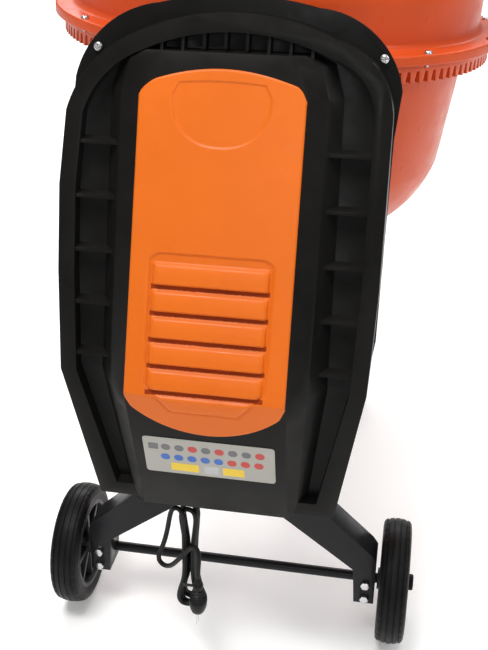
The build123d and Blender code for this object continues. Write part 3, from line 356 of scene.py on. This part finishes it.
# The last turn, the side loop, and the tail down to the plug.
ROUTE += fold(RUN_RIGHT, -63, -423.8, -427.6, 105, -1) + [
    (-53, -427.6, 160), (-53, -427.6, 215), (-53, -428, 262), (-54, -428, 278), (-61, -427, 289),
    (-71, -425, 285), (-76, -422, 268), (-80, -419, 245), (-85, -417, 222), (-91, -416, 202),
    (-97, -416, 188), (-97, -416, 175), (-88, -418, 168), (-77, -424, 174), (-67, -431, 188),
    (-56, -436, 205), (-45, -437, 221), (-36, -439, 231), (-28, -443, 226), (-26, -448, 210),
    (-27, -451, 195), (-27, -451, 179),
]
curve = bpy.data.curves.new("cord", "CURVE")
curve.dimensions = "3D"
spline = curve.splines.new("NURBS")
spline.points.add(len(ROUTE) - 1)
for point, (x, y, z) in zip(spline.points, ROUTE):
    point.co = (x * MM, y * MM, z * MM, 1.0)
spline.order_u = 3
spline.use_endpoint_u = True
spline.resolution_u = 8
curve.bevel_depth = CORD_D / 2
curve.bevel_resolution = 5
curve.use_fill_caps = True
curve.materials.append(finish["cord_pvc"])
cord = bpy.data.objects.new("cord", curve)
bpy.context.collection.objects.link(cord)
stands_for(cord, "cord_hank", "cord_lead", "cord_loop", "cord_tail")


def oval_ring(centre, half_x, half_y, z, count, power):
    """Points of a rounded oval at a height."""
    points = []
    for k in range(count):
        a = 2 * pi * k / count
        c, s = cos(a), sin(a)
        x = half_x * abs(c) ** (2 / power) * (1 if c >= 0 else -1)
        y = half_y * abs(s) ** (2 / power) * (1 if s >= 0 else -1)
        points.append((centre[0] + x, centre[1] + y, z))
    return points


def stack(name, rings, material, angle):
    """A closed solid through rings of equal length, with flat ends."""
    count = len(rings[0])
    vertices = [p for ring in rings for p in ring]
    faces = []
    for r in range(len(rings) - 1):
        faces += band(r * count, (r + 1) * count, count)
    faces.append(tuple(range(count)))
    faces.append(tuple((len(rings) - 1) * count + k for k in range(count)))
    return piece(name, vertices, faces, [material], angle=angle)


PLUG_AT = (-27, -451)


def plug_ring(half_x, half_y, z, power=2.2):
    """One outline of the plug."""
    return oval_ring(PLUG_AT, half_x, half_y, z, 48, power)


def make_plug():
    """Moulded plug: flat pin face, waisted grip with ribs, and a ringed sleeve."""
    face = ((9.0, 12.5, 120), (10.6, 14.2, 122), (12.6, 16.2, 128), (13.5, 17.0, 136), (13.4, 16.8, 141))
    rings = [plug_ring(*row) for row in face]
    for k in range(5):
        z = 143 + k * 4.2
        shrink = 1 - 0.075 * k - 0.008 * k * k
        rings.append(plug_ring(12.2 * shrink, 15.4 * shrink, z))
        rings.append(plug_ring(12.9 * shrink, 16.1 * shrink, z + 1.6))
        rings.append(plug_ring(12.2 * shrink, 15.4 * shrink, z + 3.2))
    rings += [plug_ring(8.0, 9.4, 166), plug_ring(7.4, 7.8, 170)]
    for k in range(3):
        z = 171.5 + k * 3
        radius = 6.8 - 0.7 * k
        rings.append(plug_ring(radius, radius, z, 2.0))
        rings.append(plug_ring(radius - 1.0, radius - 1.0, z + 1.2, 2.0))
        rings.append(plug_ring(radius - 1.0, radius - 1.0, z + 2.0, 2.0))
    return stack("plug", rings, finish["cord_pvc"], 40.0)


plug = stands_for(make_plug(), "plug_body")

TIE_AT = (-46.8, -414.3)
TIE_POINTS = 40


def tie_ring(half_x, half_y, z):
    """One outline of the tie."""
    return oval_ring(TIE_AT, half_x, half_y, z, TIE_POINTS, 5.0)


def make_tie():
    """Thin strap pulled round the hank."""
    rings = [tie_ring(10.9, 18.8, 146), tie_ring(10.9, 18.8, 151), tie_ring(10.0, 17.8, 151),
             tie_ring(10.0, 17.8, 146)]
    vertices = [p for ring in rings for p in ring]
    faces = []
    for r in range(4):
        faces += band(r * TIE_POINTS, (r + 1) % 4 * TIE_POINTS, TIE_POINTS)
    return piece("cord_tie", vertices, faces, [finish["rubber"]], angle=40.0)


tie = make_tie()
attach(tie, "stand")

# ---------------------------------------------------------------- cover
# The casing's bulge, from its top down: height, half width and front face.
BULGE = ((937, 92, -384), (897, 106, -397), (537, 106, -522), (315, 104, -456))
HALF_WIDTH, FRONT = 1, 2
UPPER_CREASE = BULGE[1][0]
UPPER_SLOPE, UPPER_SINK = 0.07, -2.9

COVER_HALF = 106
COVER_RISE = 3.2
COVER_COLUMNS, COVER_ROWS = 140, 520
ARCH_TOP = 930
RIGHT_CORNER, LEFT_CORNER = (98, 914), (88, 917)
FOOT_HALF, FOOT_EDGE, FOOT_TIP, FOOT_RISE = 99, 514, 471, 18
EDGE_ROUND, EDGE_DROP = 3, 2.2

SHIELD_HALF, SHIELD_TOP, SHIELD_DROP = 64.0, 900.0, 62.0
SHIELD_EDGE, SHIELD_POWER, SHIELD_DEPTH, SHIELD_ROUND = 914, 2.3, 1.7, 2.6

RECESS_Z, RECESS_HALF, RECESS_REACH, RECESS_CORNER = 611, 82, 100, 18
RECESS_FOOT, RECESS_HEAD, RECESS_DEPTH = 512, 706, 2.7
RECESS_EDGE, FOOT_SOFTENS, FOOT_SOFTENS_BY = 3, 600, 5
HEAD_NARROWS, FOOT_NARROWS, FOOT_NARROW_HALF = 696, 551, 79
SLOT_Z = (543.5, 575.5, 607.5, 640, 672.5)
# Half width of the painted shade band under each slat, and how far it reaches below and above each slat
# boundary.
PAINTED_SHADE_HALF, PAINTED_SHADE_BELOW, PAINTED_SHADE_ABOVE = 77, 5.0, 1.0
SLAT_RISE, SLAT_SIDE_ROUND, SLAT_TOP_ROUND = 6.8, 8, 17
SLAT_FOOT_GAP, SLAT_HEAD_GAP, SLAT_SIDE_GAP = 0.6, 4.2, 3.4


def along_bulge(z, column):
    """The bulge's half width or front face at a height."""
    for over, under in zip(BULGE, BULGE[1:]):
        if z >= under[0]:
            return under[column] + (over[column] - under[column]) * (z - under[0]) / (over[0] - under[0])
    return BULGE[-1][column]


def chord_height(x, edge, tip, half):
    """Height of an arc through (+-half, edge) and (0, tip)."""
    sagitta = abs(tip - edge)
    radius = (half * half + sagitta * sagitta) / (2 * sagitta)
    rise = sqrt(max(0.0, radius * radius - x * x)) - (radius - sagitta)
    return edge + rise if tip > edge else edge - rise


def cover_top(x):
    """Top edge: a flat arch that runs into a wide left corner and a tight right one."""
    knee, shoulder = RIGHT_CORNER if x > 0 else LEFT_CORNER
    x = abs(x)
    if x <= knee:
        return chord_height(x, shoulder, ARCH_TOP, knee)
    fall = (ARCH_TOP - shoulder) * 2 / knee * (x - knee)
    t = (x - knee) / (COVER_HALF - knee)
    return shoulder - fall - (shoulder - fall - UPPER_CREASE) * (1 - sqrt(max(0.0, 1 - t * t)))


def cover_foot(x):
    """Bottom edge: a deep arch with a short steep rise at each side."""
    x = abs(x)
    if x <= FOOT_HALF:
        return chord_height(x, FOOT_EDGE, FOOT_TIP, FOOT_HALF)
    return FOOT_EDGE + (x - FOOT_HALF) / (COVER_HALF - FOOT_HALF) * FOOT_RISE


def smooth(t):
    """An S curve from 0 to 1."""
    t = max(0.0, min(1.0, t))
    return t * t * (3 - 2 * t)


def rounded(t):
    """A quarter circle from 0 to 1."""
    return sqrt(1 - (1 - min(1.0, t)) ** 2)


def shield_distance(x, z):
    """Distance from the shield's rounded outline, negative inside."""
    if z >= SHIELD_TOP:
        side = abs(x) - SHIELD_HALF + (z - SHIELD_TOP) * 0.4
        return max(side, z - SHIELD_EDGE - 3 * (1 - (x / 60) ** 2))
    across = abs(x) / SHIELD_HALF
    down = (SHIELD_TOP - z) / SHIELD_DROP
    reach = (across ** SHIELD_POWER + down ** SHIELD_POWER) ** (1 / SHIELD_POWER)
    return reach * SHIELD_DROP - SHIELD_DROP


def recess_half(z):
    """Half width of the recess, narrower towards its head and its foot."""
    at_head = RECESS_HALF - max(0, z - HEAD_NARROWS) * 0.12
    at_foot = FOOT_NARROW_HALF - max(0, FOOT_NARROWS - z) * 0.8
    return min(at_head, at_foot)


def recess_distance(x, z):
    """Distance from the recess's outline, negative inside."""
    across = abs(x) - (RECESS_HALF - RECESS_CORNER)
    along = abs(z - RECESS_Z) - (RECESS_REACH - RECESS_CORNER)
    corner = hypot(max(across, 0), max(along, 0)) + min(max(across, along), 0) - RECESS_CORNER
    return max(corner, (abs(x) - recess_half(z)) * 0.8)


def slat_lift(x, z):
    """Height of the pillowed slats over the recess's floor."""
    side = recess_half(z) - SLAT_SIDE_GAP - abs(x)
    edges = (RECESS_FOOT, *SLOT_Z, RECESS_HEAD)
    for low, high in zip(edges, edges[1:]):
        if side > 0 and low + SLAT_FOOT_GAP < z < high - SLAT_HEAD_GAP:
            down = (high - SLAT_HEAD_GAP - z) / SLAT_TOP_ROUND
            from_foot = sqrt(min(1.0, (z - low - SLAT_FOOT_GAP) / 4.0))
            return SLAT_RISE * rounded(side / SLAT_SIDE_ROUND) * rounded(down) * smooth(down * 4) * from_foot
    return 0.0


def cover_lift(x, z):
    """How far the cover's face stands out of, or sinks into, its plane."""
    edge = min(COVER_HALF - abs(x), cover_top(x) - z, z - cover_foot(x))
    lift = 0.0
    if edge < EDGE_ROUND:
        lift -= EDGE_DROP * (1 - rounded(max(edge, 0) / EDGE_ROUND))
    if z > SHIELD_TOP - SHIELD_DROP:
        lift -= SHIELD_DEPTH * smooth(-shield_distance(x, z) / SHIELD_ROUND)
    if z > UPPER_CREASE:
        lift = max(lift - UPPER_SLOPE * (z - UPPER_CREASE), UPPER_SINK)
    recess = recess_distance(x, z)
    if recess < RECESS_EDGE:
        soft = RECESS_EDGE + FOOT_SOFTENS_BY * smooth((FOOT_SOFTENS - z) / 60)
        lift -= RECESS_DEPTH * smooth((RECESS_EDGE - recess) / (soft + 1.5))
        lift += slat_lift(x, z)
    return lift


def gets_painted_shade(x, z):
    """Whether a point of the cover is in the band under a slat that gets painted shade."""
    return abs(x) < PAINTED_SHADE_HALF and any(-PAINTED_SHADE_BELOW < z - slot < PAINTED_SHADE_ABOVE for slot in SLOT_Z)


def make_cover():
    """Orange cover: crease, sunk plain shield, recess with six pillowed slats, and a returned edge."""
    vertices = []
    for i in range(COVER_ROWS + 1):
        for j in range(COVER_COLUMNS + 1):
            x = -COVER_HALF + 2 * COVER_HALF * j / COVER_COLUMNS
            low, high = cover_foot(x), cover_top(x)
            z = low + (high - low) * i / COVER_ROWS
            narrow = along_bulge(z, HALF_WIDTH) / COVER_HALF
            vertices.append((x * narrow, along_bulge(z, FRONT) - COVER_RISE - cover_lift(x, z), z))
    faces = []
    indices = []
    wide = COVER_COLUMNS + 1
    for i in range(COVER_ROWS):
        for j in range(COVER_COLUMNS):
            corner = i * wide + j
            faces.append((corner, corner + 1, corner + wide + 1, corner + wide))
            x = -COVER_HALF + 2 * COVER_HALF * (j + 0.5) / COVER_COLUMNS
            # Faces in the band under a slat take the painted shade colour.
            indices.append(1 if gets_painted_shade(x, vertices[corner][2]) else 0)
    border = list(range(wide))
    border += [i * wide + COVER_COLUMNS for i in range(1, COVER_ROWS + 1)]
    border += [COVER_ROWS * wide + j for j in range(COVER_COLUMNS - 1, -1, -1)]
    border += [i * wide for i in range(COVER_ROWS - 1, 0, -1)]
    start = len(vertices)
    for index in border:
        x, _, z = vertices[index]
        vertices.append((x, along_bulge(z, FRONT) - 0.2, z))
    for k, index in enumerate(border):
        nxt = (k + 1) % len(border)
        faces.append((index, start + k, start + nxt, border[nxt]))
        indices.append(0)
    # The second material is the painted shade under the slats.
    return piece("cover_shell", vertices, faces, [finish["orange_plastic"], painted_gap_shade], indices, 40.0)


stands_for(make_cover(), "cover")


# ---------------------------------------------------------------- label
def on_lower_face(x0, x1, z0, z1, lift, thickness, corner):
    """Points and faces of a thin plate with round corners on the bulge's lower face."""
    outline = []
    for cx, cz, first in ((x1 - corner, z0 + corner, -90), (x1 - corner, z1 - corner, 0),
                          (x0 + corner, z1 - corner, 90), (x0 + corner, z0 + corner, 180)):
        outline += arc((cx, cz), corner, first, first + 90, 6)
    near = [(x, along_bulge(z, FRONT) - lift - thickness, z) for x, z in outline]
    far = [(x, along_bulge(z, FRONT) - lift, z) for x, z in outline]
    count = len(outline)
    faces = [tuple(range(count)), tuple(range(2 * count - 1, count - 1, -1))]
    faces += [(k, k + count, (k + 1) % count + count, (k + 1) % count) for k in range(count)]
    return near + far, faces


def plates(name, rows, materials, lift, thickness):
    """Plates as one piece; a row is x0, x1, z0, z1, the material's number and the corner radius."""
    vertices, faces, indices = [], [], []
    for x0, x1, z0, z1, index, corner in rows:
        points, sides = on_lower_face(x0, x1, z0, z1, lift, thickness, corner)
        base = len(vertices)
        vertices += points
        faces += [tuple(v + base for v in side) for side in sides]
        indices += [index] * len(sides)
    return piece(name, vertices, faces, materials, indices, 20.0)


FILM_LIFT, FILM_THICKNESS = 0.15, 0.7
YELLOW, GREY, RED, BLUE, SILVER = range(5)
DOT, DOT_STEP, DOT_ROUND = 13, 18.6, 5.8
DOT_ROWS = (
    (440, -66, (GREY, GREY, RED, GREY, RED, GREY, GREY, RED)),
    (420.5, -68, (BLUE, BLUE, BLUE, BLUE, BLUE, RED, RED, RED)),
)
film_rows = [(-91, 91, 388, 458, 0, 5.0)]
stands_for(plates("label_film", film_rows, [finish["label"]], FILM_LIFT, FILM_THICKNESS), "label")
blocks = [
    (first + k * DOT_STEP, first + k * DOT_STEP + DOT, row_z - 6, row_z + 6, tone, DOT_ROUND)
    for row_z, first, tones in DOT_ROWS for k, tone in enumerate(tones)
]
blocks += [
    (-84, -70, 434, 446, GREY, 1.5), (-55, -16, 394, 409, YELLOW, 1.5),
    (-8, 12, 394, 409, SILVER, 1.5), (18, 48, 394, 409, YELLOW, 1.5),
]
inks = [print_yellow, print_grey, print_red, print_blue, finish["motor_grey"]]
marks = plates("label_blocks", blocks, inks, FILM_LIFT + FILM_THICKNESS + 0.01, 0.05)
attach(marks, "stand")

# ---------------------------------------------------------------- drum
_, DRUM_Y, TILT_Z = joint_at["yoke_tilt"]
REST_TILT = radians(3.3)
DRUM_POINTS = 288
SHEET = 2.5


def lean(x, y, z):
    """A point of the upright drum, turned to the drum's mixing position."""
    dz = z - TILT_Z
    turned_x = x * cos(REST_TILT) + dz * sin(REST_TILT)
    turned_z = TILT_Z - x * sin(REST_TILT) + dz * cos(REST_TILT)
    return (turned_x, y + DRUM_Y, turned_z)


def upper_outline():
    """Section of the upper drum: flange, short wall, cone and rolled mouth."""
    points = [(315.5, 934), (348.0, 934), (349.5, 932.5), (349.5, 923.6)]
    points += [(350.2, 923), (351.4, 923), (352, 923.6)]
    points += arc((349.4, 934.4), 2.6, 0, 90, 5)
    points += arc((328, 947), 10.0, 270, 180, 6)
    points += through((318, 992), (317.0, 1007), (312.2, 1021), 6)
    points += [(292, 1079.0), (262, 1163.9), (232, 1248.8), (208, 1316)]
    points += arc((211, 1325), 9.0, -110, 180, 18)
    points += [(202.5, 1318), (230, 1246), (290, 1077), (309.5, 1021), (314.6, 1007), (315.5, 992)]
    return points


def bowl_outline():
    """Section of the bowl: flat bottom, round knuckle, wall and flange."""
    points = [(34, 590), (120, 590)]
    points += through((125, 590), (235, 642), (284, 728), 24)
    points += [(289.4, 782), (296.5, 852), (303, 921)]
    points += arc((309, 921), 6.0, 180, 90, 4)
    points += [(348, 927), (349, 928), (349, 929.4), (348.4, 930), (301.5, 930), (301.4, 925)]
    points += [(293.9, 852), (286.9, 782)]
    points += through((281.5, 728.5), (233.2, 643.8), (125, 590 + SHEET), 24)
    points.append((34, 590 + SHEET))
    return points


drum_upper = revolve("drum_upper_shell", upper_outline(), DRUM_POINTS, lean, finish["drum_orange"])
stands_for(drum_upper, "drum_cone")
drum_lower = revolve("drum_bowl_shell", bowl_outline(), DRUM_POINTS, lean, finish["drum_orange"])
stands_for(drum_lower, "drum_bowl")

# ---------------------------------------------------------------- wheels
TYRE_R = 100
CROWN_DROP = 3.0
CROWN_HALF = 17
CROWN_X = (15.4, 14.6, 13.4, 12.6, 9.6, 6.4, 5.6, 4.4, 3.6, 1.8)
GROOVE_X = (14.6, 13.4, 5.6, 4.4)
GROOVE_DEPTH = 1.3
SIDEWALL = [
    (74, 20.6), (76, 21.4), (80, 22.2), (83, 22.6), (84, 23.0), (86, 23.0), (87, 22.5), (90.5, 22.4),
    (93, 21.6), (95.2, 20.2), (96.6, 18.6), (97.2, 17.0),
]
TYRE_POINTS = 216
CUT_EVERY, CUT_DEPTH = 6, 0.9


def shoulder_cut(i, j, radius, height):
    """Radius of a tyre point, with small cuts round the shoulders."""
    if abs(height) > 15.3 and radius > 92.5 and i % CUT_EVERY == 0:
        return radius - CUT_DEPTH
    return radius


def make_tyre(side):
    """Moulded tyre: bead ring, raised sidewall line, grooved crown and cut shoulders."""
    crown = []
    for x in CROWN_X:
        sunk = GROOVE_DEPTH if x in GROOVE_X else 0.0
        crown.append((TYRE_R - CROWN_DROP * (x / CROWN_HALF) ** 2 - sunk, x))
    right_half = SIDEWALL + crown
    profile = right_half + [(TYRE_R, 0)] + [(r, -x) for r, x in reversed(right_half)]
    profile += [(72.5, -20.5), (72.5, 20.5)]
    wheel_x, wheel_y, wheel_z = joint_at["wheel_" + side + "_spin"]

    def place(a, b, h):
        """A point of the upright tyre, set on its wheel's joint."""
        return (wheel_x + h, wheel_y + a, wheel_z + b)

    tyre = revolve("tread_" + side, profile, TYRE_POINTS, place, finish["tyre"], shoulder_cut, 28.0)
    return stands_for(tyre, "tyre_" + side)


for side in ("left", "right"):
    make_tyre(side)

# ---------------------------------------------------------------- rounded CAD pieces
SOFT_EDGES = {
    "casing": 1.1, "back_plate": 0.8, "near_legs": 1.2, "far_legs": 1.2, "near_upright": 1.6,
    "far_upright": 1.6, "base_rail": 1.6, "axle_clamps": 0.8, "axle_bolts": 0.6, "frame_fasteners": 0.4,
    "wheel_rim_left": 1.0, "wheel_rim_right": 1.0, "ring_gear": 0.6, "yoke_frame": 1.4, "lock_disc": 0.8,
    "lock_guide": 0.8, "handwheel_hub": 1.4, "bearing_housings": 1.2, "switch_box": 1.2, "cord_gland": 0.8,
    "mixing_paddles": 0.8, "drum_hub": 1.2, "hub_bolts": 0.6, "spindle_nut": 1.0, "pinion": 0.5,
    "drum_pulley": 0.6, "motor_bracket": 0.6, "rubber_feet": 1.0, "lock_pin": 0.6,
}
for node, width in SOFT_EDGES.items():
    soften(node, width)

# ---------------------------------------------------------------- floor and light
bpy.ops.mesh.primitive_plane_add(size=24, location=(0, 0, 0))
floor = bpy.context.object
floor.name = "floor"
pale = surface("pale_floor", (0.94, 0.94, 0.94), 0.7, vary=0.004, rough_vary=0.03, scale=1.2)
floor.data.materials.append(pale)
glow = pale.node_tree.nodes["Principled BSDF"]
glow.inputs["Emission Color"].default_value = (1.0, 1.0, 1.0, 1.0)
glow.inputs["Emission Strength"].default_value = 0.2


def area_light(name, at, toward, size, power, colour=(1, 1, 1)):
    """A rectangular light that faces a point."""
    data = bpy.data.lights.new(name, "AREA")
    data.shape = "RECTANGLE"
    data.size, data.size_y = size
    data.energy = power
    data.color = colour
    lamp = bpy.data.objects.new(name, data)
    lamp.location = at
    lamp.rotation_euler = (Vector(toward) - Vector(at)).to_track_quat("-Z", "Y").to_euler()
    bpy.context.collection.objects.link(lamp)


WARM = (1.0, 0.98, 0.95)
area_light("key", (-0.7, -1.5, 3.8), (0, -0.3, 0.6), (1.4, 1.0), 92, WARM)
area_light("sheen", (0.1, -2.7, 1.75), (0.05, -0.4, 0.85), (0.5, 0.8), 8)
area_light("side", (2.6, -1.2, 2.4), (0, -0.1, 0.8), (1.0, 1.6), 26)
area_light("top", (0.3, 0.4, 3.6), (0, 0, 0.8), (2.6, 2.6), 34, WARM)
area_light("behind", (-0.6, 3.4, 2.4), (0, 0.2, 0.7), (2.0, 1.5), 20)
area_light("sweep", (-0.5, 5.5, 4.2), (-0.5, 5.5, 0.0), (7.0, 4.0), 330)
world = bpy.data.worlds.new("studio")
bpy.context.scene.world = world
world.use_nodes = True
backdrop = world.node_tree.nodes["Background"]
backdrop.inputs["Color"].default_value = (1.0, 0.99, 0.97, 1)
backdrop.inputs["Strength"].default_value = 0.25
